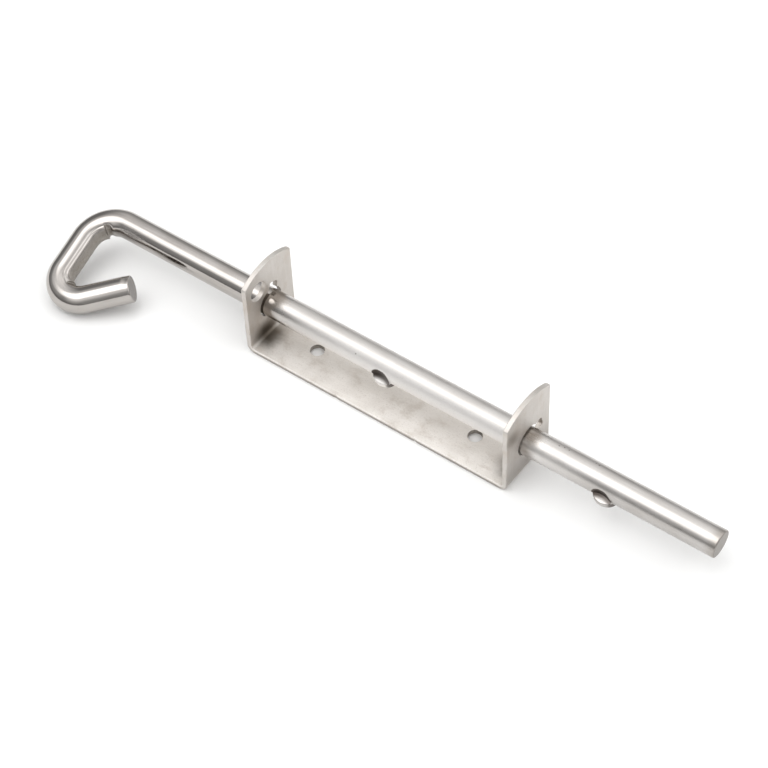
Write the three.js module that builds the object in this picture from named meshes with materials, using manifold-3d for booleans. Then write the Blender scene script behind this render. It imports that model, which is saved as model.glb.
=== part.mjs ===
// Cane bolt: a bent-strip bracket with two pierced ears, and a round rod with a
// hooked handle that slides and turns in the ears.
// Millimetres. +X runs along the rod to its plain end, +Z stands square off the
// mounting face, and the origin is the middle of the bracket's mounting face.
import * as THREE from "three";
import { mergeVertices } from "three/addons/utils/BufferGeometryUtils.js";
import Module from "manifold-3d";

const wasm = await Module();
wasm.setup();

// ---- driving dimensions -------------------------------------------------

// bracket
const STRIP = 2.2; // strip thickness
const WIDTH = 30; // strip width, along Y
const LENGTH = 131; // over the outer faces of the ears
const BEND_IN = 1.6; // inside radius of the two bends
const SHOULDER_Z = 37.2; // where an ear's straight sides end
const APEX_Z = 41.8; // top of an ear's shallow arch
const SCREW_D = 6;
const SCREW_X = 40; // screw holes at x = +/- this

// rod guide holes
const ROD_D = 12;
const ROD_Z = 17.6; // rod axis above the mounting face
const GUIDE_R = 6.8;
const GUIDE_Z = 18.1;

// keyways that let the stop lugs through an ear
const KEY_REACH = 10.1; // from the guide hole's centre to the end of the slot
const KEY_LEFT = { angle: 72, width: 5.0, low: 2.2, high: 0.8 }; // degrees from +Y towards +Z, and corner radii
const KEY_RIGHT = { angle: 14, width: 5.6, low: 1.2, high: 1.2 };

// padlock hole, in the handle-end ear only
const LOCK_R = 4.6;
const LOCK_Y = -6.9;
const LOCK_Z = 30.4;

// rod
const TIP_X = 153.6; // plain end
const TIP_CHAMFER = 0.7;
const POINT_X = 130; // start of the rod's plain front length
const GAP = 0.3;
const HOOK_ROLL = -164; // the hook's plane about the rod axis, degrees from +Y
const CORNER_X = -155.2; // where the rod's and the arm's centre lines would meet
const ARM_DIR = 86.0; // arm direction in the hook's plane, degrees from +X
const ARM = 53.1; // corner to corner
const LEG_DIR = -43.1; // return leg direction
const LEG = 43.0; // second corner to the cut end
const BEND_1 = 14.0; // centre-line radii
const BEND_2 = 10.4;
const HOOK_CHAMFER = 0.8;

// stop lugs, raised from the rod in the hook's plane
const LUG_X = [-2.0, 103.9];
const LUG_HALF = 5.15;
const LUG_SHIFT = 0.25; // towards the plain end
const LUG_REACH = 8.5;
const LUG_TOP = -0.4; // upper face, above the hook's plane
const LUG_THICK = 3.2;
const PUNCH_R = 8.65; // punch that raised the lug from the bar's side
const PUNCH_OUT = 13.6; // its middle, out from the rod axis
const PUNCH_SHIFT = 0.8; // towards the handle

const rad = THREE.MathUtils.degToRad;

// ---- solids -------------------------------------------------------------

function solid(geometry) {
  const g = geometry.clone();
  for (const name of Object.keys(g.attributes))
    if (name !== "position") g.deleteAttribute(name);
  const m = mergeVertices(g, 1e-4);
  return new wasm.Manifold(
    new wasm.Mesh({
      numProp: 3,
      vertProperties: new Float32Array(m.attributes.position.array),
      triVerts: new Uint32Array(m.index.array),
    }),
  );
}

function geometryOf(manifold) {
  const m = manifold.getMesh();
  const position = new Float32Array(m.numVert * 3);
  for (let i = 0; i < m.numVert; i++)
    for (let k = 0; k < 3; k++)
      position[3 * i + k] = m.vertProperties[m.numProp * i + k];
  const g = new THREE.BufferGeometry();
  g.setAttribute("position", new THREE.BufferAttribute(position, 3));
  g.setIndex(new THREE.BufferAttribute(new Uint32Array(m.triVerts), 1));
  return g;
}

// A shape drawn in (y, z) and extruded along +X between x0 and x1.
function alongX(shape, x0, x1, curveSegments = 16) {
  const g = new THREE.ExtrudeGeometry(shape, {
    depth: x1 - x0,
    bevelEnabled: false,
    curveSegments,
  });
  // shape x -> +Y, shape y -> +Z, extrusion -> +X
  g.applyMatrix4(
    new THREE.Matrix4().makeBasis(
      new THREE.Vector3(0, 1, 0),
      new THREE.Vector3(0, 0, 1),
      new THREE.Vector3(1, 0, 0),
    ),
  );
  g.translate(x0, 0, 0);
  return solid(g);
}

// A round cutter along an axis.
function cutter(axis, radius, from, to, at, segments = 48) {
  const g = new THREE.CylinderGeometry(radius, radius, to - from, segments);
  g.translate(0, (from + to) / 2, 0);
  if (axis === "x") g.rotateZ(-Math.PI / 2);
  if (axis === "z") g.rotateX(Math.PI / 2);
  g.translate(...at);
  return solid(g);
}

// ---- bracket ------------------------------------------------------------

function bracketSolid() {
  const half = LENGTH / 2;
  const rOut = BEND_IN + STRIP;
  const top = APEX_Z + 2;
  // side profile in (x, z), one closed U
  const s = new THREE.Shape();
  s.moveTo(-half, top);
  s.lineTo(-half, rOut);
  s.absarc(-half + rOut, rOut, rOut, Math.PI, 1.5 * Math.PI, false);
  s.lineTo(half - rOut, 0);
  s.absarc(half - rOut, rOut, rOut, 1.5 * Math.PI, 2 * Math.PI, false);
  s.lineTo(half, top);
  s.lineTo(half - STRIP, top);
  s.lineTo(half - STRIP, rOut);
  s.absarc(half - rOut, rOut, BEND_IN, 0, -0.5 * Math.PI, true);
  s.lineTo(-half + rOut, STRIP);
  s.absarc(-half + rOut, rOut, BEND_IN, 1.5 * Math.PI, Math.PI, true);
  s.lineTo(-half + STRIP, top);
  s.closePath();
  const g = new THREE.ExtrudeGeometry(s, {
    depth: WIDTH,
    bevelEnabled: false,
    curveSegments: 10,
  });
  g.rotateX(Math.PI / 2); // (x, z) profile stands up, extrusion runs to -Y
  g.translate(0, WIDTH / 2, 0);
  let bracket = solid(g);

  // ear outline in (y, z): straight sides, then a shallow arch
  const w = WIDTH / 2;
  const rise = APEX_Z - SHOULDER_Z;
  const arch = (w * w + rise * rise) / (2 * rise);
  const sweep = Math.asin(w / arch);
  const ear = new THREE.Shape();
  ear.moveTo(-w - 1, -1);
  ear.lineTo(w + 1, -1);
  ear.lineTo(w + 1, SHOULDER_Z - 1);
  ear.lineTo(w, SHOULDER_Z);
  ear.absarc(0, APEX_Z - arch, arch, Math.PI / 2 - sweep, Math.PI / 2 + sweep, false);
  ear.lineTo(-w - 1, SHOULDER_Z - 1);
  ear.closePath();
  bracket = bracket.intersect(alongX(ear, -half - 1, half + 1, 28));

  const cuts = [];
  for (const side of [-1, 1]) {
    const inner = side < 0 ? -half - 2 : half - STRIP - 2;
    const outer = inner + STRIP + 4;
    cuts.push(cutter("x", GUIDE_R, inner, outer, [0, 0, GUIDE_Z], 60));
    // radial slot with a rounded end
    const { angle, width, low, high } = side < 0 ? KEY_LEFT : KEY_RIGHT;
    const key = new THREE.Shape();
    const k = width / 2;
    key.moveTo(2, -k);
    key.lineTo(KEY_REACH - low, -k);
    key.absarc(KEY_REACH - low, -k + low, low, -Math.PI / 2, 0, false);
    key.lineTo(KEY_REACH, k - high);
    key.absarc(KEY_REACH - high, k - high, high, 0, Math.PI / 2, false);
    key.lineTo(2, k);
    key.closePath();
    const slot = new THREE.ExtrudeGeometry(key, {
      depth: outer - inner,
      bevelEnabled: false,
      curveSegments: 5,
    });
    slot.rotateZ(rad(angle));
    slot.applyMatrix4(
      new THREE.Matrix4().makeBasis(
        new THREE.Vector3(0, 1, 0),
        new THREE.Vector3(0, 0, 1),
        new THREE.Vector3(1, 0, 0),
      ),
    );
    slot.translate(inner, 0, GUIDE_Z);
    cuts.push(solid(slot));
    cuts.push(cutter("z", SCREW_D / 2, -2, STRIP + 2, [side * SCREW_X, 0, 0], 40));
  }
  cuts.push(cutter("x", LOCK_R, -half - 2, -half + STRIP + 2, [0, LOCK_Y, LOCK_Z], 44));
  for (const c of cuts) bracket = bracket.subtract(c);
  return bracket;
}

// ---- rod ----------------------------------------------------------------

// The rod's centre line from near its front to the hook's cut end, as
// stations with exact tangents: long steps where straight, short ones in bends.
function rodStations() {
  const flat = []; // [x, s, tangent angle] in the hook's plane
  const dir = (a) => [Math.cos(a), Math.sin(a)];
  const a0 = Math.PI; // travelling towards -X
  const a1 = rad(ARM_DIR);
  const a2 = rad(LEG_DIR);
  const c1 = [CORNER_X, 0];
  const c2 = [c1[0] + ARM * Math.cos(a1), ARM * Math.sin(a1)];
  const end = [c2[0] + LEG * Math.cos(a2), c2[1] + LEG * Math.sin(a2)];
  const turn1 = a0 - a1;
  const turn2 = a1 - a2;
  const cut1 = BEND_1 * Math.tan(turn1 / 2);
  const cut2 = BEND_2 * Math.tan(turn2 / 2);

  const straight = (p, q, a, n) => {
    for (let i = 0; i <= n; i++)
      flat.push([p[0] + ((q[0] - p[0]) * i) / n, p[1] + ((q[1] - p[1]) * i) / n, a]);
  };
  const bend = (p, a, turn, radius, n) => {
    // clockwise seen with x right and s up, the centre lies to the right
    const c = [p[0] + radius * Math.sin(a), p[1] - radius * Math.cos(a)];
    for (let i = 1; i < n; i++) {
      const b = a - (turn * i) / n;
      flat.push([c[0] - radius * Math.sin(b), c[1] + radius * Math.cos(b), b]);
    }
  };
  const [d1, d2] = [dir(a1), dir(a2)];
  const s1 = [c1[0] + cut1, 0];
  const e1 = [c1[0] + cut1 * d1[0], cut1 * d1[1]];
  const s2 = [c2[0] - cut2 * d1[0], c2[1] - cut2 * d1[1]];
  const e2 = [c2[0] + cut2 * d2[0], c2[1] + cut2 * d2[1]];
  straight([POINT_X - GAP, 0], s1, a0, 4);
  bend(s1, a0, turn1, BEND_1, 14);
  straight(e1, s2, a1, 2);
  bend(s2, a1, turn2, BEND_2, 16);
  straight(e2, [end[0] - HOOK_CHAMFER * d2[0], end[1] - HOOK_CHAMFER * d2[1]], a2, 2);
  return flat;
}

class StationCurve extends THREE.Curve {
  constructor(flat) {
    super();
    const roll = rad(HOOK_ROLL);
    this.points = flat.map(
      ([x, s]) => new THREE.Vector3(x, s * Math.cos(roll), ROD_Z + s * Math.sin(roll)),
    );
    this.tangents = flat.map(
      ([, , a]) =>
        new THREE.Vector3(Math.cos(a), Math.sin(a) * Math.cos(roll), Math.sin(a) * Math.sin(roll)),
    );
  }
  at(list, t, target = new THREE.Vector3()) {
    const f = t * (list.length - 1);
    const i = Math.min(Math.floor(f + 1e-9), list.length - 2);
    return target.copy(list[i]).lerp(list[i + 1], f - i);
  }
  getPoint(t, target) {
    return this.at(this.points, t, target);
  }
  getPointAt(t, target) {
    return this.at(this.points, t, target);
  }
  getTangent(t, target) {
    return this.at(this.tangents, t, target).normalize();
  }
  getTangentAt(t, target) {
    return this.at(this.tangents, t, target).normalize();
  }
}

const ROD_SIDES = 32;

function circleShape(radius) {
  const s = new THREE.Shape();
  for (let i = 0; i < ROD_SIDES; i++) {
    const a = (2 * Math.PI * (i + 0.5)) / ROD_SIDES;
    const p = [radius * Math.cos(a), radius * Math.sin(a)];
    i ? s.lineTo(...p) : s.moveTo(...p);
  }
  s.closePath();
  return s;
}

// A turned end: a short drum with a chamfer, drawn along +Y and stood at a point.
function turnedEnd(radius, chamfer, overlap, from, direction) {
  const g = new THREE.LatheGeometry(
    [
      new THREE.Vector2(0, -overlap),
      new THREE.Vector2(radius - 0.02, -overlap),
      new THREE.Vector2(radius - 0.02, 0),
      new THREE.Vector2(radius - chamfer, chamfer),
      new THREE.Vector2(0, chamfer),
    ],
    ROD_SIDES,
  );
  g.applyQuaternion(
    new THREE.Quaternion().setFromUnitVectors(new THREE.Vector3(0, 1, 0), direction),
  );
  g.translate(from.x, from.y, from.z);
  return solid(g);
}

function rodSolid() {
  const path = new StationCurve(rodStations());
  const g = new THREE.ExtrudeGeometry(circleShape(ROD_D / 2), {
    steps: path.points.length - 1,
    bevelEnabled: false,
    extrudePath: path,
  });
  let rod = solid(g);
  const last = path.points.length - 1;
  rod = rod.add(
    turnedEnd(ROD_D / 2, HOOK_CHAMFER, 1.5, path.points[last], path.tangents[last]),
  );

  // lugs: half-round fins whose flat upper face lies along the hook's plane
  const roll = rad(HOOK_ROLL);
  const out = new THREE.Vector3(0, Math.cos(roll), Math.sin(roll));
  const up = new THREE.Vector3(0, Math.sin(roll), -Math.cos(roll)); // the side facing away from the mounting face
  for (const x of LUG_X) {
    const fin = new THREE.Shape();
    fin.moveTo(-LUG_HALF, 2.5);
    fin.lineTo(LUG_HALF, 2.5);
    fin.lineTo(LUG_HALF, 5.6);
    const n = 12;
    for (let i = 0; i <= n; i++) {
      const a = (Math.PI * i) / n;
      fin.lineTo(
        LUG_HALF * Math.cos(a) * 0.98,
        5.7 + (LUG_REACH - 5.7) * Math.pow(Math.sin(a), 0.8),
      );
    }
    fin.lineTo(-LUG_HALF, 5.6);
    fin.closePath();
    const f = new THREE.ExtrudeGeometry(fin, { depth: LUG_THICK, bevelEnabled: false });
    f.translate(0, 0, LUG_TOP - LUG_THICK);
    // shape x -> -X, shape y -> out, extrusion -> up
    const basis = new THREE.Matrix4().makeBasis(new THREE.Vector3(-1, 0, 0), out, up);
    f.applyMatrix4(basis);
    f.translate(x + LUG_SHIFT, 0, ROD_Z);
    rod = rod.add(solid(f));
    // punch mark above the fin, biting into the rod's side
    const punch = new THREE.CylinderGeometry(PUNCH_R, PUNCH_R, 8, 72);
    punch.rotateX(Math.PI / 2); // axis along local extrusion direction
    punch.translate(PUNCH_SHIFT, PUNCH_OUT, LUG_TOP + 4);
    punch.applyMatrix4(basis);
    punch.translate(x, 0, ROD_Z);
    rod = rod.subtract(solid(punch));
  }
  return rod;
}

function pointSolid() {
  const g = new THREE.CylinderGeometry(ROD_D / 2, ROD_D / 2, TIP_X - TIP_CHAMFER - POINT_X, ROD_SIDES);
  g.translate(0, (TIP_X - TIP_CHAMFER - POINT_X) / 2, 0);
  g.rotateZ(-Math.PI / 2);
  g.translate(POINT_X, 0, ROD_Z);
  return solid(g).add(
    turnedEnd(
      ROD_D / 2,
      TIP_CHAMFER,
      1.5,
      new THREE.Vector3(TIP_X - TIP_CHAMFER, 0, ROD_Z),
      new THREE.Vector3(1, 0, 0),
    ),
  );
}

// ---- the assembly -------------------------------------------------------

const caneBolt = new THREE.Group();
caneBolt.name = "cane_bolt";

const bracket = new THREE.Mesh(
  geometryOf(bracketSolid()),
  new THREE.MeshStandardMaterial({ color: 0xc8beb4, roughness: 0.34, metalness: 1 }),
);
bracket.name = "bracket";
caneBolt.add(bracket);

const slider = new THREE.Group(); // slides in the ears
const rodPoint = new THREE.Mesh(
  geometryOf(pointSolid()),
  new THREE.MeshStandardMaterial({ color: 0xcfcac4, roughness: 0.22, metalness: 1 }),
);
rodPoint.name = "rod_point";
slider.add(rodPoint);

const turner = new THREE.Group(); // turns about the rod axis
const boltRod = new THREE.Mesh(
  geometryOf(rodSolid()),
  new THREE.MeshStandardMaterial({ color: 0xcfcac4, roughness: 0.2, metalness: 1 }),
);
boltRod.name = "bolt_rod";
turner.add(boltRod);
slider.add(turner);
caneBolt.add(slider);

export default caneBolt;
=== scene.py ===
import bpy
import math
import numpy as np
from mathutils import Matrix, Vector
from mathutils.geometry import delaunay_2d_cdt


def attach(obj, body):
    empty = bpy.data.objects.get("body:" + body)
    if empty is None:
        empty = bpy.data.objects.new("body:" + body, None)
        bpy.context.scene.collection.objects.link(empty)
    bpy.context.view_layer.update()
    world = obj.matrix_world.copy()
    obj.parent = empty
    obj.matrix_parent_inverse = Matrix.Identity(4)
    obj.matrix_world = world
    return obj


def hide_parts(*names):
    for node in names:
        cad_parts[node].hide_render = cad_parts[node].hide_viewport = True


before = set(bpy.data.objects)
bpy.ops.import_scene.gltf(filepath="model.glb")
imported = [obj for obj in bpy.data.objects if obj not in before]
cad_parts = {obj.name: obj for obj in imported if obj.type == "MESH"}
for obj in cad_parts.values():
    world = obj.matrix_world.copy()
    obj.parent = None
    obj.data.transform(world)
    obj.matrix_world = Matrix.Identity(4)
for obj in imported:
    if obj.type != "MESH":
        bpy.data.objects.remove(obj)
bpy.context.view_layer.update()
MM = 0.001

# ---- dimensions, the same as the part's (millimetres) --------------------

STRIP, WIDTH, LENGTH, BEND_IN = 2.2, 30.0, 131.0, 1.6
SHOULDER_Z, APEX_Z = 37.2, 41.8
SCREW_R, SCREW_X = 3.0, 40.0
ROD_R, ROD_Z = 6.0, 17.6
GUIDE_R, GUIDE_Z = 6.8, 18.1
KEY_REACH = 10.1
KEYWAY = {-1: (72.0, 5.0, 2.2, 0.8), 1: (14.0, 5.6, 1.2, 1.2)}  # angle, width, corner radii
LOCK_R, LOCK_Y, LOCK_Z = 4.6, -6.9, 30.4
TIP_X = 153.6
HOOK_ROLL = math.radians(-164.0)
CORNER_X, ARM_DIR, ARM = -155.2, 86.0, 53.1
LEG_DIR, LEG = -43.1, 43.0
BEND_1, BEND_2 = 14.0, 10.4
LUG_X = (-2.0, 103.9)
LUG_HALF, LUG_SHIFT, LUG_REACH, LUG_TOP, LUG_THICK = 5.15, 0.25, 8.5, -0.4, 3.2
PUNCH_R, PUNCH_OUT, PUNCH_SHIFT = 8.65, 13.6, 0.8
END_ROUND = 0.55

OUT = np.array([0.0, math.cos(HOOK_ROLL), math.sin(HOOK_ROLL)])
UP = np.array([0.0, math.sin(HOOK_ROLL), -math.cos(HOOK_ROLL)])
XA = np.array([1.0, 0.0, 0.0])


def smooth(t):
    t = np.clip(t, 0.0, 1.0)
    return t * t * (3 - 2 * t)


# ---- the rod: one bar swept along its centre line ------------------------

FAN = 2.0  # rays start this far under the axis, so that they reach the lugs' ledges


def ray_angles():
    """Ray directions round the section, from OUT towards UP, closer together at the lugs."""
    parts = [
        np.arange(-20.0, 35.0, 1.25),
        np.arange(35.0, 72.0, 2.3),
        np.linspace(72.0, 340.0, 62, endpoint=False),
    ]
    return np.radians(np.concatenate(parts))


RAY = ray_angles()
RAY_O, RAY_U = np.cos(RAY), np.sin(RAY)
# where those rays leave a round bar of radius 1 (scaled with the bar's radius)
_b = -(FAN / ROD_R) * RAY_U
_rho = -_b + np.sqrt(_b * _b - (FAN / ROD_R) ** 2 + 1.0)
UNIT_O = _rho * RAY_O
UNIT_U = _rho * RAY_U - FAN / ROD_R
ALPHA = np.arctan2(UNIT_U, UNIT_O)  # true angle round the bar


def smin(a, b, k):
    h = np.clip(0.5 + 0.5 * (b - a) / k, 0.0, 1.0)
    return b + (a - b) * h - k * h * (1 - h)


def smax(a, b, k):
    return -smin(-a, -b, k)


def lug_solid(dx, o, u):
    """Signed distance, near enough, to the bar with one raised lug and its punch mark."""
    bar = np.sqrt(o * o + u * u) - ROD_R
    # fin seen from above: a lopsided half-round, fuller towards the handle end
    lean = 0.35
    x = dx - LUG_SHIFT + lean * np.clip((o - 5.5) / 3.5, 0, 1)
    half = LUG_HALF - 0.1
    reach = LUG_REACH - 0.15
    e = np.sqrt((x / half) ** 2 + (np.maximum(o - 4.6, 0) / (reach - 4.6)) ** 2 + 1e-9)
    plan = (e - 1.0) * 0.5 * (half + reach - 4.6)
    thick = np.abs(u - (LUG_TOP - LUG_THICK / 2 - 0.02)) - (LUG_THICK / 2 - 0.03)
    fin = smax(smax(plan, thick, 0.55), 1.5 - o, 0.1)
    body = smin(bar, fin, 0.35)
    punch = np.sqrt((dx + PUNCH_SHIFT) ** 2 + (o - PUNCH_OUT) ** 2) - PUNCH_R
    floor = (LUG_TOP - 0.02) - u
    bite = smax(punch, floor, 0.25)
    return smax(body, -bite, 0.3)


def lug_radii(dx):
    """Distance from the fan point to the surface, for stations dx from a lug's middle."""
    n = len(RAY)
    rho = np.linspace(0.5, 12.0, 231)
    inside = np.zeros((len(dx), n, len(rho)), bool)
    for i, d in enumerate(dx):
        o = rho[None, :] * RAY_O[:, None]
        u = rho[None, :] * RAY_U[:, None] - FAN
        inside[i] = lug_solid(d, o, u) < 0
    last = inside.shape[2] - 1 - np.argmax(inside[:, :, ::-1], axis=2)
    low, high = rho[last], rho[np.minimum(last + 1, len(rho) - 1)]
    d = np.asarray(dx)[:, None]
    for _ in range(14):
        mid = (low + high) / 2
        hit = lug_solid(d, mid * RAY_O, mid * RAY_U - FAN) < 0
        low, high = np.where(hit, mid, low), np.where(hit, high, mid)
    return (low + high) / 2


def centre_line():
    """Stations [x, s, direction, arc length, region] in the hook's plane, from the tip to the cut end."""
    a0, a1, a2 = math.pi, math.radians(ARM_DIR), math.radians(LEG_DIR)
    c1 = np.array([CORNER_X, 0.0])
    d1 = np.array([math.cos(a1), math.sin(a1)])
    d2 = np.array([math.cos(a2), math.sin(a2)])
    c2 = c1 + ARM * d1
    end = c2 + (LEG - END_ROUND) * d2
    t1, t2 = a0 - a1, a1 - a2
    cut1, cut2 = BEND_1 * math.tan(t1 / 2), BEND_2 * math.tan(t2 / 2)
    xs = []
    x = TIP_X - END_ROUND
    while x > CORNER_X + cut1 + 0.5:
        xs.append(x)
        near = min(abs(x - l) for l in LUG_X)
        fromtip = TIP_X - x
        step = 0.14 if near < 6.6 else (0.35 if near < 9 else 2.2)
        if fromtip < 1.6:
            step = 0.2
        elif fromtip < 6:
            step = 0.8
        x -= step
    rows = [(x, 0.0, a0, TIP_X - x, 0) for x in xs]
    length = TIP_X - (CORNER_X + cut1)
    n = 124
    for i in range(n):
        b = a0 - t1 * i / n
        centre = np.array([CORNER_X + cut1, BEND_1])
        rows.append((centre[0] - BEND_1 * math.sin(b), centre[1] + BEND_1 * math.cos(b), b, length + BEND_1 * t1 * i / n, 1))
    length += BEND_1 * t1
    s2, e1 = c2 - cut2 * d1, c1 + cut1 * d1
    run = float(np.linalg.norm(s2 - e1))
    n = max(8, int(run / 0.5))
    for i in range(n):
        p = e1 + (s2 - e1) * i / n
        rows.append((p[0], p[1], a1, length + run * i / n, 2))
    length += run
    n = 124
    centre = s2 + BEND_2 * np.array([math.sin(a1), -math.cos(a1)])
    for i in range(n):
        b = a1 - t2 * i / n
        rows.append((centre[0] - BEND_2 * math.sin(b), centre[1] + BEND_2 * math.cos(b), b, length + BEND_2 * t2 * i / n, 3))
    length += BEND_2 * t2
    e2 = c2 + cut2 * d2
    run = float(np.linalg.norm(end - e2))
    n = int(run / 0.7)
    for i in range(n + 1):
        p = e2 + (end - e2) * i / n
        rows.append((p[0], p[1], a2, length + run * i / n, 4))
    length += run
    marks = {
        "bend1": (TIP_X - (CORNER_X + cut1), TIP_X - (CORNER_X + cut1) + BEND_1 * t1),
        "arm0": TIP_X - (CORNER_X + cut1) + BEND_1 * t1,
        "bend2": (length - run - BEND_2 * t2, length - run),
        "end": length,
    }
    return np.array(rows), marks


def rod_points():
    rows, marks = centre_line()
    n, m = len(rows), len(RAY)
    x, s, a, arc = rows[:, 0], rows[:, 1], rows[:, 2], rows[:, 3]
    o = np.tile(UNIT_O * ROD_R, (n, 1))
    u = np.tile(UNIT_U * ROD_R, (n, 1))
    for lx in LUG_X:
        pick = (np.abs(x - lx) < 7.2) & (rows[:, 4] == 0)
        rho = lug_radii(x[pick] - lx)
        o[pick] = rho * RAY_O
        u[pick] = rho * RAY_U - FAN
    hook_marks(rows, marks, o, u)
    along = np.zeros((n, m))
    end_shape(rows, marks, o, u, along)
    tangent = np.stack([np.cos(a), np.sin(a)], 1)
    inward = np.stack([np.sin(a), -np.cos(a)], 1)
    px = x[:, None] + o * inward[:, :1] + along * tangent[:, :1]
    ps = s[:, None] + o * inward[:, 1:] + along * tangent[:, 1:]
    pts = px[..., None] * XA + ps[..., None] * OUT + u[..., None] * UP
    pts[..., 2] += ROD_Z
    return rows, marks, pts, o, u


def hook_marks(rows, marks, o, u):
    """What the bending tools left on the inside of the hook: a pressed face that ends in a fold inside each bend."""
    arc = rows[:, 3][:, None]
    deg = np.degrees(ALPHA)[None, :]
    side = np.abs(deg)
    start, stop = PRESSED
    along = smooth((arc - start) / 0.7) * (1 - smooth((arc - stop) / 0.7))
    grow = smooth((arc - start) / 7.0) * (1 - smooth((arc - stop + 7.0) / 7.0))
    lip = 0.21 * np.exp(-(((side - 41.0) / 12.0) ** 2))
    flat = -0.06 * (1 - smooth((side - 12.0) / 22.0))
    line = -0.20 * np.exp(-(((side - 53.5) / 1.9) ** 2))
    swell = (0.42 * (1 - grow)) * (1 - smooth((side - 30.0) / 22.0))
    wander = 1 + 0.14 * np.sin(arc * 0.9 + 0.7) * np.sin(arc * 0.37 + deg * 0.05)
    d = along * ((lip + flat) * wander + line + swell)
    # the folds: a sharp step down past each end of the pressed face, easing back to the round bar
    inner = 1 - smooth((side - 40.0) / 24.0)
    fold1 = (1 - smooth((arc - start) / 0.7)) * smooth((arc - (start - 5.0)) / 4.4)
    fold2 = smooth((arc - stop) / 0.7) * (1 - smooth((arc - stop - 0.8) / 4.4))
    d = d - 0.85 * inner * fold1 * (1 + 0.12 * np.sin(deg * 0.16)) - 0.45 * inner * fold2
    bruise = np.exp(-(((arc - 288.5) / 5.0) ** 2)) * np.exp(-(((deg - 44.0) / 17.0) ** 2))
    d = d - bruise * 0.07 * (0.6 + 0.5 * np.sin(arc * 2.9 + deg * 0.21) + 0.4 * np.sin(arc * 1.3 - deg * 0.33))
    scale = 1 + d / ROD_R
    o *= scale
    u *= scale


PRESSED = (304.7, 344.0)  # the pressed face's two ends, along the bar from its plain end


def wear_and_shade_masks(rows, pts_o, pts_u):
    """(pressed face, sheared metal, bruised or worn), each from 0 to 1; the first two also carry painted shade and
    painted reflection.
    """
    arc = rows[:, 3][:, None]
    deg = np.degrees(ALPHA)[None, :]
    side = np.abs(deg)
    start, stop = PRESSED
    along = smooth((arc - start + 4.5) / 3.0) * (1 - smooth((arc - stop - 3.0) / 2.0))
    pressed = along * (1 - smooth((side - 14.0) / 36.0))
    # painted shade in the folds at each end of the pressed face
    fold = np.exp(-(((arc - (start - 1.2)) / 1.5) ** 2)) + 0.8 * np.exp(-(((arc - (stop + 0.8)) / 1.2) ** 2))
    pressed = np.maximum(pressed, np.clip(fold, 0, 1) * (1 - smooth((side - 44.0) / 20.0)))
    sheared_and_shade = np.zeros_like(pressed)
    for lx in LUG_X:
        dx = rows[:, 0][:, None] - lx
        near = (np.abs(dx) < 6.5) & (rows[:, 4][:, None] == 0)
        # the wall that the punch sheared, painted near-black as shade, and the ledge at its foot, painted dark as the
        # wall's reflection, lighter towards the rim
        out = PUNCH_R - np.sqrt((dx + PUNCH_SHIFT) ** 2 + (pts_o - PUNCH_OUT) ** 2)
        bitten = near & (pts_o > 2.0) & (out > -0.12) & (pts_u > LUG_TOP - 0.25) & (pts_u < 5.0)
        wall = smooth((pts_u - LUG_TOP - 0.05) / 0.25)
        fade = 0.80 + 0.20 * smooth((2.5 - dx) / 6.0)
        ledge = 1 - smooth((out - 0.6) / (2.0 - 0.10 * dx))
        sheared_and_shade = np.maximum(sheared_and_shade, np.where(bitten, fade * (wall + (1 - wall) * ledge), 0))
        # painted shade under the lug's end towards +X
        r = np.sqrt(pts_o**2 + pts_u**2)
        under = near & (r > ROD_R + 0.12) & (pts_u < LUG_TOP - 0.3)
        sheared_and_shade = np.maximum(sheared_and_shade, np.where(under, 0.8 * smooth((dx - 2.2) / 1.8), 0))
    bruise = np.exp(-(((arc - 288.0) / 6.0) ** 2)) * np.exp(-(((deg - 44.0) / 18.0) ** 2))
    return np.stack([pressed, sheared_and_shade, bruise + 0 * pressed], -1)


def end_shape(rows, marks, o, u, along):
    """The cut ends as a cropping tool leaves them: a slight lean, and a drawn-in edge on the hook's end."""
    arc = rows[:, 3]
    for dist, sign, lean_o, lean_u in ((arc, -1.0, 0.0, 0.035), (marks["end"] - arc, 1.0, 0.05, -0.05)):
        near = dist < 7.0
        lean = lean_o * o[near] + lean_u * u[near] - (abs(lean_o) + abs(lean_u)) * ROD_R * 0.72
        along[near] += sign * lean * smooth(1 - dist[near] / 7.0)[:, None]
    d = marks["end"] - arc
    tail = (1 - smooth(d / 3.2))[:, None]
    deg = np.degrees(ALPHA)[None, :]
    drawn = 1 - tail * 0.10 * np.exp(-(((deg - 62.0) / 30.0) ** 2))
    o *= drawn
    u *= drawn


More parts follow.
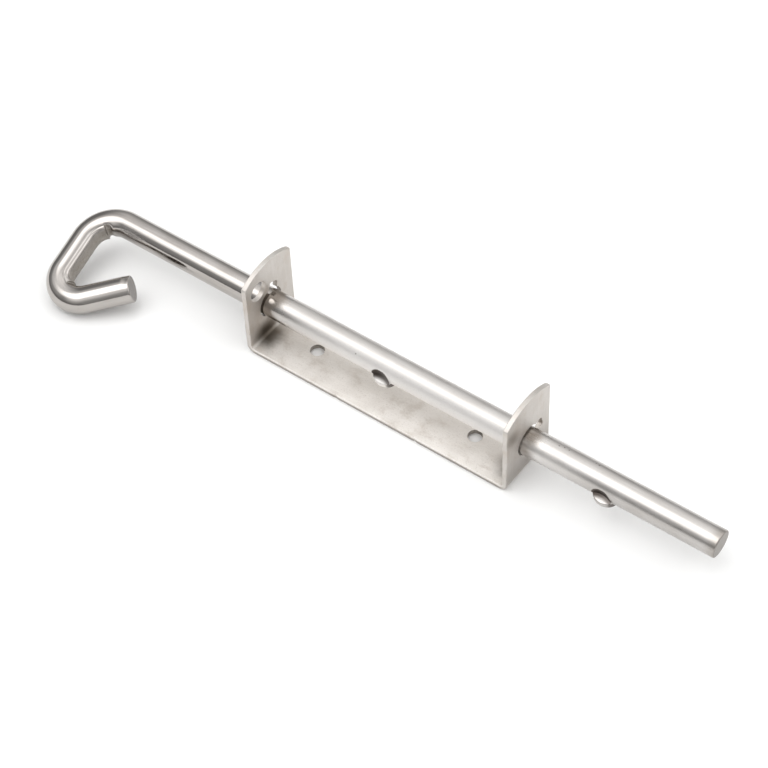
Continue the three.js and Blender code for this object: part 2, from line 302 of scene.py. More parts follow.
def rod_mesh():
    rows, marks, pts, o, u = rod_points()
    n, m = pts.shape[:2]
    arc = rows[:, 3]
    verts = [pts.reshape(-1, 3)]
    coord = np.zeros((n, m, 3))
    coord[..., 0] = arc[:, None]
    coord[..., 1] = (ALPHA * ROD_R)[None, :]
    coord[..., 2] = ALPHA[None, :]
    coords = [coord.reshape(-1, 3)]
    section = np.stack([coord[..., 0], np.tile(UNIT_O * ROD_R, (n, 1)), np.tile(UNIT_U * ROD_R, (n, 1))], -1)
    sections = [section.reshape(-1, 3)]
    masks = [wear_and_shade_masks(rows, o, u).reshape(-1, 3)]
    faces = []
    i = np.arange(n - 1)[:, None] * m
    j = np.arange(m)[None, :]
    k = (j + 1) % m
    quads = np.stack([i + j, i + m + j, i + m + k, i + k], -1).reshape(-1, 4)
    faces += quads.tolist()
    base = n * m
    # caps: rings of a small rounded chamfer, then flat to the middle
    for which, ring, direction in ((0, pts[0], +1), (1, pts[-1], -1)):
        centre = (ring.max(0) + ring.min(0)) / 2
        nxt = pts[1] if which == 0 else pts[-2]
        axis = ring.mean(0) - nxt.mean(0)
        axis /= np.linalg.norm(axis)
        prev = np.arange(m) + (0 if which == 0 else (n - 1) * m)
        chamfer = END_ROUND
        steps = [(1 - math.cos(t), math.sin(t)) for t in np.radians([18, 36, 54, 72, 90])]
        rings = []
        for inset, rise in steps:
            rings.append((inset * chamfer, rise * chamfer))
        for share in (0.86, 0.7, 0.45, 0.2, 0.03):
            rings.append((ROD_R * (1 - share), chamfer))
        # the ring nearest the end is set back by the chamfer, so the end stays at its length
        for inset, rise in rings:
            r = ring - centre
            length = np.linalg.norm(r, axis=1, keepdims=True)
            p = centre + (r * (1 - inset / length) if inset <= chamfer else r * (1 - inset / ROD_R)) + axis * rise
            idx = base + np.arange(m)
            verts.append(p)
            cc = coords[0].reshape(n, m, 3)[0 if which == 0 else -1].copy()
            cc[:, 0] += (-1 if which == 0 else 1) * (rise + inset)
            coords.append(cc)
            sc = section[0 if which == 0 else -1] * [1.0, 1 - inset / ROD_R, 1 - inset / ROD_R]
            sc[:, 0] += (-1 if which == 0 else 1) * rise
            sections.append(sc)
            cut = smooth((inset - 0.3) / 0.4)
            # painted shade: a dark ring on the tip's chamfer
            rim = 0.55 * math.exp(-(((inset - 0.5) / 0.35) ** 2))
            masks.append(np.tile([0.0, 0.75 * cut if which else max(0.38 * cut, rim), 0.0], (m, 1)))
            nx = (np.arange(m) + 1) % m
            q = np.stack([prev, prev[nx], idx[nx], idx], -1) if which == 0 else np.stack([prev, idx, idx[nx], prev[nx]], -1)
            faces += q.tolist()
            prev = idx
            base += m
        verts.append((centre + axis * chamfer)[None])
        cc = np.array([[arc[0 if which == 0 else -1], 0, 0]])
        coords.append(cc)
        sections.append(cc + [[(-1 if which == 0 else 1) * chamfer, 0, 0]])
        masks.append(np.array([[0.0, 0.75 if which else 0.35, 0.0]]))
        nx = (np.arange(m) + 1) % m
        top = base
        t = np.stack([prev, prev[nx], np.full(m, top)], -1) if which == 0 else np.stack([prev, np.full(m, top), prev[nx]], -1)
        faces += t.tolist()
        base += 1
    return np.concatenate(verts), np.concatenate(coords), faces, np.concatenate(masks), np.concatenate(sections)


# ---- the bracket: a blanked strip, pierced and bent ----------------------

R_OUT = BEND_IN + STRIP
R_MID = BEND_IN + STRIP / 2
FLAT_X = LENGTH / 2 - R_OUT  # the base is flat up to here
ARC = R_MID * math.pi / 2


def flat_s(z):
    """Distance along the unbent strip of a point at height z on an ear."""
    return FLAT_X + ARC + (z - R_OUT)


def arc_points(cx, cy, r, a0, a1, step):
    n = max(2, int(abs(a1 - a0) * r / step))
    return [(cx + r * math.cos(a0 + (a1 - a0) * i / n), cy + r * math.sin(a0 + (a1 - a0) * i / n)) for i in range(n)]


def line_points(p, q, step):
    n = max(1, int(math.dist(p, q) / step))
    return [(p[0] + (q[0] - p[0]) * i / n, p[1] + (q[1] - p[1]) * i / n) for i in range(n)]


def outline_loops():
    """Closed loops in (s, y): the blank's outline anticlockwise, then the holes clockwise."""
    w = WIDTH / 2
    rise = APEX_Z - SHOULDER_Z
    arch = (w * w + rise * rise) / (2 * rise)
    sweep = math.asin(w / arch)
    top = flat_s(APEX_Z - arch)
    shoulder = flat_s(SHOULDER_Z)
    loop = []
    # bottom edge (y = -w) from the left shoulder to the right one
    loop += line_points((-shoulder, -w), (-(FLAT_X + ARC), -w), 1.2)
    loop += line_points((-(FLAT_X + ARC), -w), (-FLAT_X, -w), 0.35)
    loop += line_points((-FLAT_X, -w), (FLAT_X, -w), 1.2)
    loop += line_points((FLAT_X, -w), (FLAT_X + ARC, -w), 0.35)
    loop += line_points((FLAT_X + ARC, -w), (shoulder, -w), 1.2)
    loop += arc_points(top, 0, arch, -sweep, sweep, 0.6)
    loop += line_points((shoulder, w), (FLAT_X + ARC, w), 1.2)
    loop += line_points((FLAT_X + ARC, w), (FLAT_X, w), 0.35)
    loop += line_points((FLAT_X, w), (-FLAT_X, w), 1.2)
    loop += line_points((-FLAT_X, w), (-(FLAT_X + ARC), w), 0.35)
    loop += line_points((-(FLAT_X + ARC), w), (-shoulder, w), 1.2)
    loop += arc_points(-top, 0, arch, math.pi - sweep, math.pi + sweep, 0.6)
    loops = [np.array(loop)]
    for side in (-1, 1):
        loops.append(np.array(arc_points(side * SCREW_X, 0, SCREW_R, 2 * math.pi, 0, 0.3)))
        # guide hole with its keyway, drawn in (y, z)
        g = GUIDE_Z
        degrees, width, low, high = KEYWAY[side]
        angle = math.radians(degrees)
        k = width / 2
        half = math.asin(k / GUIDE_R)
        pts = arc_points(0, g, GUIDE_R, angle + half, angle - half + 2 * math.pi, 0.3)
        ca, sa = math.cos(angle), math.sin(angle)

        def slot(u, v):
            return (u * ca - v * sa, g + u * sa + v * ca)

        root = GUIDE_R * math.cos(half)
        pts += line_points(slot(root, -k), slot(KEY_REACH - low, -k), 0.3)
        c = slot(KEY_REACH - low, -k + low)
        pts += arc_points(c[0], c[1], low, angle - math.pi / 2, angle, 0.2)
        pts += line_points(slot(KEY_REACH, -k + low), slot(KEY_REACH, k - high), 0.3)
        c = slot(KEY_REACH - high, k - high)
        pts += arc_points(c[0], c[1], high, angle, angle + math.pi / 2, 0.2)
        pts += line_points(slot(KEY_REACH - high, k), slot(root, k), 0.3)
        loops.append(hole_loop([(side * flat_s(z), y) for y, z in pts]))
    lock = arc_points(LOCK_Y, LOCK_Z, LOCK_R, 0, 2 * math.pi, 0.3)
    loops.append(hole_loop([(-flat_s(z), y) for y, z in lock]))
    return loops


def hole_loop(pts):
    p = np.array(pts)
    q = np.roll(p, -1, 0)
    area = 0.5 * np.sum(p[:, 0] * q[:, 1] - q[:, 0] * p[:, 1])
    return p if area < 0 else p[::-1].copy()


def loop_normals(p):
    """Outward (away from material) unit normals with a mitre factor, for a loop with the material on its left."""
    d = np.roll(p, -1, 0) - p
    d /= np.linalg.norm(d, axis=1, keepdims=True)
    e = np.roll(d, 1, 0)
    n1 = np.stack([d[:, 1], -d[:, 0]], 1)
    n0 = np.stack([e[:, 1], -e[:, 0]], 1)
    n = n0 + n1
    n /= np.linalg.norm(n, axis=1, keepdims=True)
    mitre = 1 / np.clip(np.sum(n * n1, 1), 0.5, 1)
    return n, mitre


def bend_point(s, y, h):
    """Unbent (s, y, h) to the bent strip: h runs from -STRIP/2, the mounting side, to +STRIP/2."""
    side = np.sign(s)
    t = np.abs(s)
    x = np.empty_like(t)
    z = np.empty_like(t)
    base = t <= FLAT_X
    ear = t >= FLAT_X + ARC
    mid = ~base & ~ear
    x[base], z[base] = t[base], h[base] + STRIP / 2
    a = (t[mid] - FLAT_X) / R_MID
    r = R_MID - h[mid]
    x[mid], z[mid] = FLAT_X + r * np.sin(a), R_OUT - r * np.cos(a)
    x[ear] = LENGTH / 2 - STRIP / 2 - h[ear]
    z[ear] = R_OUT + (t[ear] - FLAT_X - ARC)
    return np.stack([side * x, y, z], 1)


def bend_normal(s, ny, ns, nh):
    side = np.sign(s)
    a = np.clip((np.abs(s) - FLAT_X) / R_MID, 0, math.pi / 2)
    # along the strip and out of its inner face, in (x, z) on the +X side
    along = np.stack([np.cos(a), np.sin(a)], 1)
    out = np.stack([-np.sin(a), np.cos(a)], 1)
    ns = ns * side
    x = ns * along[:, 0] + nh * out[:, 0]
    z = ns * along[:, 1] + nh * out[:, 1]
    return np.stack([side * x, ny, z], 1)


EDGE = 0.28  # rounding left on the blanked edges


def bracket_mesh():
    loops = outline_loops()
    # nicks that handling left in the near lower edge
    for s0, depth, wide in ((-19.5, 0.20, 1.1), (20.6, 0.24, 1.2), (-37.0, 0.10, 0.9), (48.0, 0.12, 1.0)):
        p = loops[0]
        low = p[:, 1] < -WIDTH / 2 + 0.01
        p[:, 1] += np.where(low, depth * np.exp(-((p[:, 0] - s0) / (wide * 0.5)) ** 2), 0)
    profile = []  # (inset, height from the middle, normal out, normal up) from the inner face to the mounting side
    top = STRIP / 2
    profile.append((EDGE + 0.05, top, 0.0, 1.0))
    for t in np.radians([0, 30, 60, 90]):
        profile.append((EDGE * (1 - math.sin(t)), top - EDGE * (1 - math.cos(t)), math.sin(t), math.cos(t)))
    for t in np.radians([90, 60, 30, 0]):
        profile.append((EDGE * (1 - math.sin(t)), -top + EDGE * (1 - math.cos(t)), math.sin(t), -math.cos(t)))
    profile.append((EDGE + 0.05, -top, 0.0, -1.0))
    verts, normals, faces = [], [], []
    base = 0
    first_rings, last_rings = [], []
    for p in loops:
        n, mitre = loop_normals(p)
        m = len(p)
        nx = (np.arange(m) + 1) % m
        prev = None
        for r, (inset, h, nn, nz) in enumerate(profile):
            q = p - n * (mitre * inset)[:, None]
            verts.append(np.column_stack([q, np.full(m, h)]))
            normals.append(np.column_stack([n * nn, np.full(m, nz)]))
            idx = base + np.arange(m)
            if r == 0:
                first_rings.append((idx, q))
            if r == len(profile) - 1:
                last_rings.append((idx, q))
            if prev is not None:
                faces += np.stack([prev, idx, idx[nx], prev[nx]], -1).tolist()
            prev = idx
            base += m
    # interior points
    smax_, w = flat_s(APEX_Z), WIDTH / 2
    ss = []
    s = -smax_
    while s < smax_:
        ss.append(s)
        t = abs(s)
        s += 0.35 if FLAT_X - 0.5 <= t <= FLAT_X + ARC + 0.5 else 1.6
    ys = np.arange(-w + 1.2, w - 0.9, 1.5)
    grid = np.array([(a, b) for a in ss for b in ys])
    keep = np.ones(len(grid), bool)
    for k, p in enumerate(loops):
        inside = in_loop(p, grid)
        keep &= inside if k == 0 else ~inside
        q = p[:: max(1, len(p) // 200)]
        d = np.min(np.linalg.norm(grid[:, None, :] - p[None, :, :], axis=2), axis=1)
        keep &= d > 0.7
    grid = grid[keep]
    for rings, height, flip in ((first_rings, top, False), (last_rings, -top, True)):
        points, index, edges = [], [], []
        for idx, q in rings:
            start = len(points)
            points += q.tolist()
            index += idx.tolist()
            m = len(idx)
            edges += [(start + i, start + (i + 1) % m) for i in range(m)]
        for g in grid:
            points.append(g.tolist())
            index.append(base)
            base += 1
        verts.append(np.column_stack([grid, np.full(len(grid), height)]))
        normals.append(np.column_stack([np.zeros((len(grid), 2)), np.full(len(grid), -1.0 if flip else 1.0)]))
        res = delaunay_2d_cdt([Vector(p) for p in points], edges, [], 0, 1e-6)
        out_v = np.array([tuple(v) for v in res[0]])
        origin = [o[0] if o else None for o in res[3]]
        tris = np.array([f for f in res[2] if len(f) == 3])
        mid = out_v[tris].mean(1)
        good = np.ones(len(tris), bool)
        for k, (idx, q) in enumerate(rings):
            inside = in_loop(q, mid)
            good &= inside if k == 0 else ~inside
        for f in tris[good]:
            ids = [origin[i] for i in f]
            if None in ids:
                continue
            f3 = [index[i] for i in ids]
            a, b, c = (np.array(points[i]) for i in ids)
            area = (b[0] - a[0]) * (c[1] - a[1]) - (b[1] - a[1]) * (c[0] - a[0])
            if (area > 0) == flip:
                f3 = f3[::-1]
            faces.append(f3)
    v = np.concatenate(verts)
    nrm = np.concatenate(normals)
    s, y, h = v[:, 0], v[:, 1], v[:, 2]
    placed = bend_point(s, y, h)
    normal = bend_normal(s, nrm[:, 1], nrm[:, 0], nrm[:, 2])
    return placed, v, normal, faces


def in_loop(p, pts):
    q = np.roll(p, -1, 0)
    x, y = pts[:, 0][:, None], pts[:, 1][:, None]
    cross = (p[None, :, 1] > y) != (q[None, :, 1] > y)
    xi = (q[None, :, 0] - p[None, :, 0]) * (y - p[None, :, 1]) / (q[None, :, 1] - p[None, :, 1] + 1e-300) + p[None, :, 0]
    return (np.sum(cross & (x < xi), axis=1) % 2) == 1


# ---- objects -------------------------------------------------------------


def make(name, verts, faces, coord, coord_name, normals=None):
    mesh = bpy.data.meshes.new(name)
    mesh.from_pydata((verts * MM).tolist(), [], faces)
    mesh.update()
    a = mesh.attributes.new(coord_name, "FLOAT_VECTOR", "POINT")
    a.data.foreach_set("vector", coord.astype(np.float32).ravel())
    mesh.polygons.foreach_set("use_smooth", [True] * len(mesh.polygons))
    if normals is not None:
        mesh.normals_split_custom_set_from_vertices(normals.tolist())
    obj = bpy.data.objects.new(name, mesh)
    bpy.context.scene.collection.objects.link(obj)
    return obj


rod_v, rod_c, rod_f, rod_w, rod_s = rod_mesh()
rod = make("rod_bar", rod_v, rod_f, rod_c, "bar")
for name, values in (("wear_and_shade", rod_w), ("section", rod_s)):
    rod.data.attributes.new(name, "FLOAT_VECTOR", "POINT").data.foreach_set("vector", values.astype(np.float32).ravel())
brk_v, brk_c, brk_n, brk_f = bracket_mesh()
bracket = make("bracket_strip", brk_v, brk_f, brk_c, "strip", brk_n)


# ---- materials -----------------------------------------------------------


class Nodes:
    def __init__(self, name):
        self.mat = bpy.data.materials.new(name)
        self.mat.use_nodes = True
        self.t = self.mat.node_tree
        self.t.nodes.clear()
        self.out = self.t.nodes.new("ShaderNodeOutputMaterial")
        self.bsdf = self.t.nodes.new("ShaderNodeBsdfPrincipled")
        self.t.links.new(self.bsdf.outputs["BSDF"], self.out.inputs["Surface"])

    def put(self, socket, value):
        if hasattr(value, "is_output"):
            self.t.links.new(value, socket)
        else:
            socket.default_value = value

    def math(self, op, a, b=0.0, c=None, clamp=False):
        n = self.t.nodes.new("ShaderNodeMath")
        n.operation = op
        n.use_clamp = clamp
        self.put(n.inputs[0], a)
        self.put(n.inputs[1], b)
        if c is not None:
            self.put(n.inputs[2], c)
        return n.outputs[0]

    def attribute(self, name):
        n = self.t.nodes.new("ShaderNodeAttribute")
        n.attribute_name = name
        return n.outputs["Vector"]

    def scale(self, vector, by):
        n = self.t.nodes.new("ShaderNodeVectorMath")
        n.operation = "MULTIPLY"
        self.put(n.inputs[0], vector)
        n.inputs[1].default_value = by
        return n.outputs[0]

    def split(self, vector):
        n = self.t.nodes.new("ShaderNodeSeparateXYZ")
        self.put(n.inputs[0], vector)
        return n.outputs

    def join(self, x, y, z):
        n = self.t.nodes.new("ShaderNodeCombineXYZ")
        for socket, value in zip(n.inputs, (x, y, z)):
            self.put(socket, value)
        return n.outputs[0]

    def noise(self, vector, scale=1.0, detail=3.0, rough=0.5):
        n = self.t.nodes.new("ShaderNodeTexNoise")
        n.noise_dimensions = "3D"
        self.put(n.inputs["Vector"], vector)
        n.inputs["Scale"].default_value = scale
        n.inputs["Detail"].default_value = detail
        n.inputs["Roughness"].default_value = rough
        return n.outputs["Fac"]

    def ramp(self, value, low, high, to_low=0.0, to_high=1.0):
        n = self.t.nodes.new("ShaderNodeMapRange")
        n.interpolation_type = "SMOOTHSTEP"
        self.put(n.inputs["Value"], value)
        n.inputs["From Min"].default_value = low
        n.inputs["From Max"].default_value = high
        n.inputs["To Min"].default_value = to_low
        n.inputs["To Max"].default_value = to_high
        return n.outputs["Result"]

    def colour(self, fac, a, b):
        n = self.t.nodes.new("ShaderNodeMix")
        n.data_type = "RGBA"
        self.put(n.inputs["Factor"], fac)
        for socket, value in ((n.inputs[6], a), (n.inputs[7], b)):
            self.put(socket, value if hasattr(value, "is_output") else (*value, 1.0))
        return n.outputs[2]

    def bump(self, height, distance, strength=1.0, normal=None):
        n = self.t.nodes.new("ShaderNodeBump")
        n.inputs["Strength"].default_value = strength
        n.inputs["Distance"].default_value = distance
        self.put(n.inputs["Height"], height)
        if normal is not None:
            self.put(n.inputs["Normal"], normal)
        return n.outputs["Normal"]


def steel_bracket():
    k = Nodes("brushed_steel_strip")
    p = k.attribute("strip")
    parts = k.split(p)
    along, across = parts[0], parts[1]
    fine = k.noise(k.scale(p, (0.22, 6.0, 1.0)), 1.0, 4.0, 0.62)
    streak = k.noise(k.scale(p, (0.05, 1.1, 0.5)), 1.0, 3.0, 0.55)
    cloud = k.noise(k.scale(p, (0.09, 0.12, 0.2)), 1.0, 3.0, 0.55)
    speck = k.noise(k.scale(p, (1.5, 1.9, 1.0)), 1.0, 2.0, 0.6)
    mixed = k.math("ADD", k.math("MULTIPLY", fine, 0.22), k.math("MULTIPLY", streak, 0.22))
    mixed = k.math("ADD", mixed, k.math("MULTIPLY", cloud, 0.56))
    tone = k.ramp(mixed, 0.36, 0.64)
    height = parts[2]
    base = k.ramp(k.math("ABSOLUTE", along), 60.0, 68.0, 1.0, 0.0)
    col = k.colour(tone, (0.57, 0.535, 0.50), (0.64, 0.61, 0.58))
    # painted light: the flat base, which faces up to the light, gets a far lighter colour than the ears of the same
    # strip
    col = k.colour(base, col, k.colour(tone, (0.85, 0.815, 0.775), (0.94, 0.91, 0.875)))
    dirt = k.ramp(speck, 0.52, 0.78, 0.0, 0.34)
    col = k.colour(dirt, col, (0.42, 0.375, 0.33))
    blotch = k.noise(k.scale(p, (0.13, 0.17, 0.2)), 1.0, 4.0, 0.6)
    col = k.colour(k.ramp(blotch, 0.50, 0.72, 0.0, 0.34), col, (0.50, 0.43, 0.36))
    # painted shade and painted dark reflection in the inner corners of the bends
    reach = k.math("ABSOLUTE", k.math("SUBTRACT", k.math("ABSOLUTE", along), 64.5))
    reach = k.math("ADD", reach, k.math("MULTIPLY", k.math("SUBTRACT", cloud, 0.5), 7.0))
    corner_shade = k.ramp(reach, 2.0, 12.0, 1.0, 0.0)
    middle = k.math("ABSOLUTE", k.math("ADD", across, 4.5))
    middle = k.math("ADD", middle, k.math("MULTIPLY", k.math("SUBTRACT", blotch, 0.5), 5.0))
    middle = k.ramp(middle, 1.5, 10.5, 1.0, 0.0)
    faced = k.ramp(height, 0.4, 1.0)
    corner_shade = k.math("MULTIPLY", k.math("MULTIPLY", corner_shade, middle), k.math("MULTIPLY", faced, 0.96))
    col = k.colour(corner_shade, col, (0.135, 0.112, 0.086))
    # painted shadow and reflection of the rod on the base, darker towards and under the rod
    under_rod_shade = k.math("MULTIPLY", k.ramp(across, -10.0, 2.0, 0.0, 0.30), k.math("MULTIPLY", base, faced))
    col = k.colour(under_rod_shade, col, (0.47, 0.42, 0.36))
    # painted shade on the lower part of the base's blanked edge faces; the pierced walls of the screw holes are darker
    edge = k.math("MULTIPLY", k.ramp(k.math("ABSOLUTE", across), 14.70, 14.85), k.ramp(height, -0.1, 0.7, 1.0, 0.0))
    col = k.colour(k.math("MULTIPLY", edge, k.math("MULTIPLY", base, 0.80)), col, (0.30, 0.27, 0.245))
    side = k.math("SUBTRACT", k.math("ABSOLUTE", along), SCREW_X)
    ring = k.math("SQRT", k.math("ADD", k.math("MULTIPLY", side, side), k.math("MULTIPLY", across, across)))
    col = k.colour(k.ramp(ring, 3.02, 3.24, 0.75, 0.0), col, (0.24, 0.21, 0.18))
    # the outer faces: darker low down, and a brown smear on the plain-end ear
    outer = k.math("MULTIPLY", k.ramp(height, -1.0, -0.5, 1.0, 0.0), k.math("SUBTRACT", 1.0, base))
    low = k.ramp(k.math("ABSOLUTE", along), 67.0, 84.0, 0.50, 0.0)
    col = k.colour(k.math("MULTIPLY", outer, low), col, (0.27, 0.245, 0.225))
    da, db = k.math("SUBTRACT", along, 92.0), k.math("ADD", across, 11.0)
    smear = k.math("SQRT", k.math("ADD", k.math("MULTIPLY", da, da), k.math("MULTIPLY", db, db)))
    smear = k.math("ADD", smear, k.math("MULTIPLY", k.math("SUBTRACT", blotch, 0.5), 4.0))
    col = k.colour(k.math("MULTIPLY", outer, k.ramp(smear, 1.0, 6.5, 0.55, 0.0)), col, (0.24, 0.20, 0.16))
    k.put(k.bsdf.inputs["Base Color"], col)
    k.bsdf.inputs["Metallic"].default_value = 1.0
    rough = k.math("MULTIPLY_ADD", fine, 0.12, 0.36)
    rough = k.math("ADD", rough, k.math("MULTIPLY", cloud, 0.14))
    rough = k.math("ADD", rough, k.math("MULTIPLY", base, 0.10))
    k.put(k.bsdf.inputs["Roughness"], rough)
    n = k.bump(fine, 0.00003, 0.32)
    n = k.bump(speck, 0.00004, 0.3, n)
    k.put(k.bsdf.inputs["Normal"], n)
    return k.mat


# small pits: along the bar, round the bar (mm), radius
PITS = (
    (56.2, 12.85, 0.50), (57.8, 13.05, 0.42), (72.0, 12.5, 0.45), (69.8, 12.3, 0.38), (74.2, 11.9, 0.38),
    (169.1, 5.4, 0.42),
)


def steel_rod():
    k = Nodes("drawn_steel_bar")
    p = k.attribute("bar")
    parts = k.split(p)
    arc, girth = parts[0], parts[1]
    wear_and_shade = k.split(k.attribute("wear_and_shade"))
    pressed, sheared_and_shade, bruise = wear_and_shade[0], wear_and_shade[1], wear_and_shade[2]
    # along the bar, and the point in its section, so that there is no seam
    q = k.attribute("section")
    high = k.split(q)[2]
    # the side that rubs in the guide holes is matt
    lower = k.ramp(k.split(q)[1], 1.0, 3.4)
    lines = k.noise(k.scale(q, (0.07, 2.2, 2.2)), 1.0, 4.0, 0.6)
    grain = k.noise(k.scale(q, (2.1, 2.1, 2.1)), 1.0, 3.0, 0.6)
    cloud = k.noise(k.scale(q, (0.08, 0.22, 0.22)), 1.0, 3.0, 0.5)
    tone = k.ramp(k.math("ADD", k.math("MULTIPLY", lines, 0.5), k.math("MULTIPLY", cloud, 0.5)), 0.35, 0.65)
    wear_and_handle_shade = k.ramp(arc, 196.0, 219.0, 1.0, 0.0)
    inner = k.math("MULTIPLY", wear_and_handle_shade, k.ramp(arc, 45.0, 100.0))
    col = k.colour(tone, (0.46, 0.437, 0.415), (0.53, 0.51, 0.493))
    # painted shade: the handle gets a darker colour than the shank, standing in for the dimmer floor it reflects
    col = k.colour(wear_and_handle_shade, k.colour(tone, (0.41, 0.383, 0.36), (0.48, 0.456, 0.435)), col)
    col = k.colour(inner, col, k.colour(tone, (0.535, 0.51, 0.485), (0.60, 0.58, 0.56)))
    matt = k.math("MULTIPLY", k.math("MULTIPLY", inner, k.ramp(arc, 168.0, 212.0, 1.0, 0.0)), lower)
    col = k.colour(matt, col, (0.74, 0.72, 0.70))
    # painted shade and reflection of the ears where the bar leaves them, stronger on the upper side, and the bar darker
    # towards its plain tip
    ear_shade_and_tip_dark = None
    for at, wide in ((86.3, 6.0), (214.6, 7.0)):
        g = k.ramp(k.math("ABSOLUTE", k.math("SUBTRACT", arc, at)), 0.6, wide, 1.0, 0.0)
        ear_shade_and_tip_dark = g if ear_shade_and_tip_dark is None else k.math("MAXIMUM", ear_shade_and_tip_dark, g)
    ear_shade_and_tip_dark = k.math("MULTIPLY", ear_shade_and_tip_dark, k.ramp(high, -4.5, 3.0, 0.15, 1.0))
    ear_shade_and_tip_dark = k.math("MULTIPLY", ear_shade_and_tip_dark, k.ramp(cloud, 0.30, 0.60, 0.25, 0.65))
    ear_shade_and_tip_dark = k.math("MAXIMUM", ear_shade_and_tip_dark, k.ramp(arc, 0.5, 5.5, 0.34, 0.0))
    col = k.colour(ear_shade_and_tip_dark, col, (0.20, 0.165, 0.13))
    speck = k.ramp(grain, 0.54, 0.80, 0.0, 0.34)
    col = k.colour(speck, col, (0.30, 0.27, 0.24))
    scuff = k.ramp(grain, 0.40, 0.62)
    # the pressed face: scuffed by the die, and painted darker as a dark reflection; painted shade in its folds
    col = k.colour(k.math("MULTIPLY", pressed, k.math("MULTIPLY_ADD", scuff, 0.40, 0.30)), col, (0.30, 0.268, 0.225))
    # near-black: the cut end faces, and painted shade and reflection at the lugs' punch marks
    col = k.colour(sheared_and_shade, col, (0.105, 0.088, 0.078))
    col = k.colour(k.math("MULTIPLY", bruise, k.math("MULTIPLY", scuff, 0.6)), col, (0.30, 0.285, 0.27))
    spots = None
    flat = k.join(arc, girth, 0.0)
    for a, g, r in PITS:
        n = k.t.nodes.new("ShaderNodeVectorMath")
        n.operation = "DISTANCE"
        k.put(n.inputs[0], flat)
        n.inputs[1].default_value = (a, g, 0.0)
        dot = k.ramp(n.outputs["Value"], r * 0.35, r, 1.0, 0.0)
        spots = dot if spots is None else k.math("MAXIMUM", spots, dot)
    col = k.colour(k.math("MULTIPLY", spots, 0.8), col, (0.10, 0.08, 0.065))
    k.put(k.bsdf.inputs["Base Color"], col)
    k.bsdf.inputs["Metallic"].default_value = 1.0
    # the handle is brighter than the length that works in the ears
    rough = k.math("MULTIPLY_ADD", wear_and_handle_shade, 0.21, 0.09)
    rough = k.math("ADD", rough, k.math("MULTIPLY", inner, 0.10))
    rough = k.math("ADD", rough, k.math("MULTIPLY", matt, 0.16))
    rough = k.math("SUBTRACT", rough, k.ramp(k.math("ABSOLUTE", k.math("SUBTRACT", arc, 85.0)), 4.0, 12.0, 0.12, 0.0))
    rough = k.math("ADD", rough, k.math("MULTIPLY", k.math("SUBTRACT", cloud, 0.5), 0.10))
    rough = k.math("ADD", rough, k.math("MULTIPLY", k.math("SUBTRACT", lines, 0.5), 0.06))
    rough = k.math("ADD", rough, k.math("MULTIPLY", k.ramp(pressed, 0.0, 0.5), k.math("MULTIPLY_ADD", grain, 0.30, 0.24)))
    rough = k.math("ADD", rough, k.math("MULTIPLY", sheared_and_shade, 0.22))
    rough = k.math("ADD", rough, k.math("MULTIPLY", bruise, k.math("MULTIPLY", grain, 0.35)), clamp=True)
    k.put(k.bsdf.inputs["Roughness"], rough)
    n = k.bump(lines, 0.00002, 0.16)
    n = k.bump(grain, 0.00002, 0.12, n)
    n = k.bump(k.math("MULTIPLY", k.math("ADD", pressed, bruise), grain), 0.00018, 0.7, n)
    n = k.bump(k.math("MULTIPLY", spots, -1.0), 0.0001, 0.8, n)
    k.put(k.bsdf.inputs["Normal"], n)
    return k.mat


bracket.data.materials.append(steel_bracket())
rod.data.materials.append(steel_rod())

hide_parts("bracket")
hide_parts("bolt_rod", "rod_point")
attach(bracket, "bracket")
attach(rod, "bolt_turner")

# ---- studio --------------------------------------------------------------


# soft boxes round the table: azimuth and height in degrees, brightness
SOFTBOXES = (
    (30, 3, 0.12), (120, 3, 0.12), (45, 18, 0.15), (-45, 18, 0.2),
    (0, 36, 0.49), (30, 36, 0.63), (60, 36, 0.66), (90, 36, 0.45), (120, 36, 0.25), (-150, 36, 0.2),
    (-120, 36, 0.1), (-90, 36, 0.45), (-30, 36, 0.29), (18, 54, 0.66), (54, 54, 0.26), (126, 54, 0.5),
    (-162, 54, 0.6), (-126, 62, 1.25), (-90, 54, 0.55), (-18, 54, 0.4), (120, 72, 0.75), (-120, 72, 1.3),
    (0, 90, 0.17),
)
SPREAD = 30.0
AMBIENT = 0.283


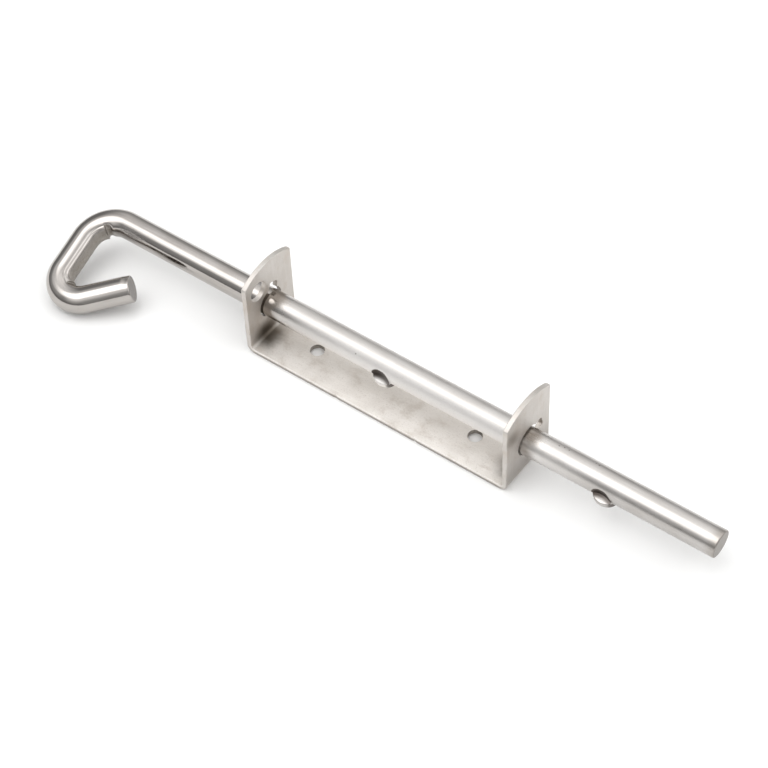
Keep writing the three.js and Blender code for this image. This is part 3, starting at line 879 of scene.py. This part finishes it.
def studio():
    mesh = bpy.data.meshes.new("floor")
    r, z = 6.0, -0.0002
    mesh.from_pydata([(-r, -r, z), (r, -r, z), (r, r, z), (-r, r, z)], [], [(0, 1, 2, 3)])
    obj = bpy.data.objects.new("floor", mesh)
    bpy.context.scene.collection.objects.link(obj)
    k = Nodes("pale_floor")
    k.bsdf.inputs["Base Color"].default_value = (0.93, 0.93, 0.925, 1)
    k.bsdf.inputs["Roughness"].default_value = 0.9
    k.bsdf.inputs["Specular IOR Level"].default_value = 0.0
    mesh.materials.append(k.mat)
    world = bpy.data.worlds.new("studio")
    world.use_nodes = True
    t = world.node_tree
    t.nodes.clear()
    out = t.nodes.new("ShaderNodeOutputWorld")
    bg = t.nodes.new("ShaderNodeBackground")
    t.links.new(bg.outputs[0], out.inputs["Surface"])
    tc = t.nodes.new("ShaderNodeTexCoord")
    total = None
    for az, el, power in SOFTBOXES:
        a, e = math.radians(az), math.radians(el)
        dot = t.nodes.new("ShaderNodeVectorMath")
        dot.operation = "DOT_PRODUCT"
        t.links.new(tc.outputs["Generated"], dot.inputs[0])
        dot.inputs[1].default_value = (math.cos(e) * math.cos(a), math.cos(e) * math.sin(a), math.sin(e))
        lobe = t.nodes.new("ShaderNodeMapRange")
        lobe.interpolation_type = "SMOOTHSTEP"
        lobe.inputs["From Min"].default_value = math.cos(math.radians(SPREAD))
        lobe.inputs["From Max"].default_value = 1.0
        lobe.inputs["To Min"].default_value = 0.0
        lobe.inputs["To Max"].default_value = power
        t.links.new(dot.outputs["Value"], lobe.inputs["Value"])
        add = t.nodes.new("ShaderNodeMath")
        add.operation = "ADD"
        t.links.new(lobe.outputs["Result"], add.inputs[0])
        if total is None:
            add.inputs[1].default_value = AMBIENT
        else:
            t.links.new(total, add.inputs[1])
        total = add.outputs[0]
    # the open room round the object is plain and pale to look at; what lights the object is above
    path = t.nodes.new("ShaderNodeLightPath")
    pale = t.nodes.new("ShaderNodeMix")
    pale.data_type = "FLOAT"
    t.links.new(path.outputs["Is Camera Ray"], pale.inputs["Factor"])
    t.links.new(total, pale.inputs[2])
    pale.inputs[3].default_value = 0.97
    t.links.new(pale.outputs[0], bg.inputs["Strength"])
    bg.inputs["Color"].default_value = (1.0, 1.0, 1.0, 1.0)
    bpy.context.scene.world = world


studio()

# ---- camera --------------------------------------------------------------

AZ, EL, ROLL = math.radians(38.402), math.radians(50.317), math.radians(-2.87)
SHIFT = np.array([4.58, 4.834, 952.184])
FOCAL = 2315.39  # in pixels of a 768 pixel wide frame


def camera():
    right = np.array([math.cos(AZ), math.sin(AZ), 0.0])
    fwd = np.array([-math.sin(AZ) * math.cos(EL), math.cos(AZ) * math.cos(EL), -math.sin(EL)])
    up = np.cross(right, fwd)
    cr, sr = math.cos(ROLL), math.sin(ROLL)
    R = np.array([[cr, -sr, 0], [sr, cr, 0], [0, 0, 1.0]]) @ np.array([right, -up, fwd])
    place = -R.T @ SHIFT * MM
    data = bpy.data.cameras.new("camera")
    data.sensor_fit = "HORIZONTAL"
    data.sensor_width = 36.0
    data.lens = FOCAL * 36.0 / 768.0
    data.clip_start, data.clip_end = 0.02, 50.0
    obj = bpy.data.objects.new("camera", data)
    bpy.context.scene.collection.objects.link(obj)
    m = Matrix.Identity(4)
    for i in range(3):
        m[i][0], m[i][1], m[i][2], m[i][3] = R[0][i], -R[1][i], -R[2][i], place[i]
    obj.matrix_world = m
    bpy.context.scene.camera = obj


camera()
bpy.context.scene.view_settings.view_transform = "Standard"
bpy.context.scene.view_settings.look = "None"
